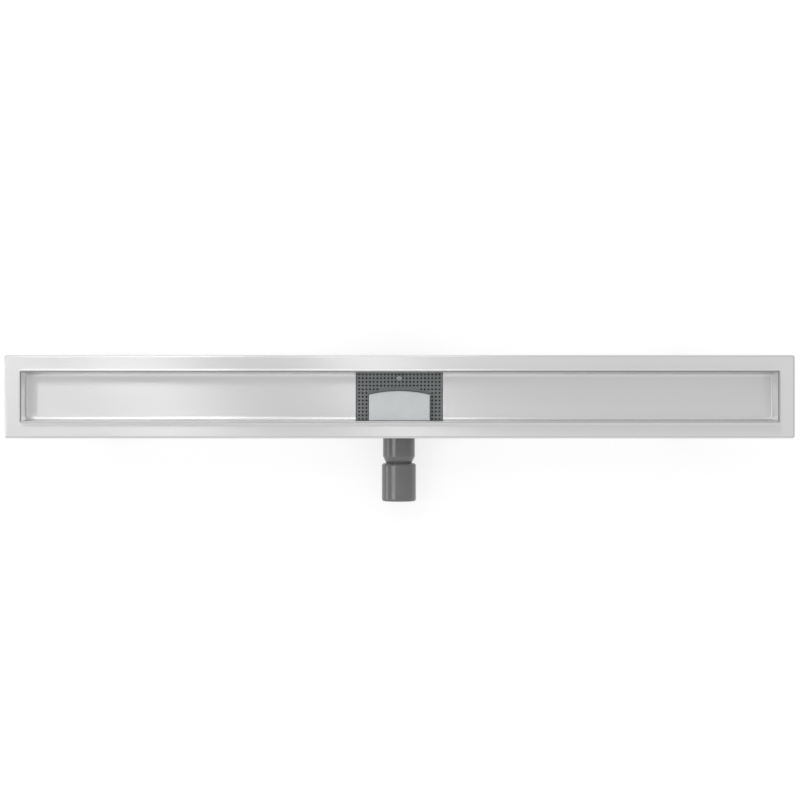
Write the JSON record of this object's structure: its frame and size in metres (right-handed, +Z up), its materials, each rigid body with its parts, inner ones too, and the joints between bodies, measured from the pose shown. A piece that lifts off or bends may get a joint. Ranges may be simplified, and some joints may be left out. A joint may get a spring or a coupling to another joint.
{
  "type": "linear shower drain",
  "caption": "Long stainless steel floor channel with a flange and raised rim, a rounded trough, a perforated strainer over a trap sump and a side outlet; takes shower water to a waste pipe.",
  "frame": {"origin": "on the floor under the middle of the channel, at the underside of the sump", "axes": "+X along the channel, -Y towards the outlet, +Z up"},
  "size_m": [0.9, 0.1695, 0.101],
  "materials": {
    "stainless_sheet": "satin",
    "rail_steel": "satin",
    "fastener_steel": "zinc plated",
    "sump_plastic": "moulded, slight gloss",
    "strainer_plastic": "moulded, matt",
    "lid_plastic": "moulded, matt",
    "pad_plastic": "moulded, matt",
    "seal_rubber": "matt",
    "thread_brass": "turned"
  },
  "bodies": {
    "root": {"channel_tray": "stainless_sheet", "sump_gasket": "seal_rubber", "collar_studs": "fastener_steel", "sump_washers": "fastener_steel", "sump_nuts": "fastener_steel", "sump_body": "sump_plastic", "threaded_insert": "thread_brass", "trap_insert": "lid_plastic", "insert_seal": "seal_rubber", "strainer": "strainer_plastic", "strainer_screw": "fastener_steel", "outlet_adapter": "sump_plastic", "outlet_o_ring": "seal_rubber", "foot_rail_left": "rail_steel", "foot_rail_right": "rail_steel", "foot_stud_1": "fastener_steel", "foot_stud_2": "fastener_steel", "foot_stud_3": "fastener_steel", "foot_stud_4": "fastener_steel", "foot_pad_1": "pad_plastic", "foot_pad_2": "pad_plastic", "foot_pad_3": "pad_plastic", "foot_pad_4": "pad_plastic", "foot_nuts_upper": "fastener_steel", "foot_nuts_lower": "fastener_steel"}
  },
  "joints": []
}
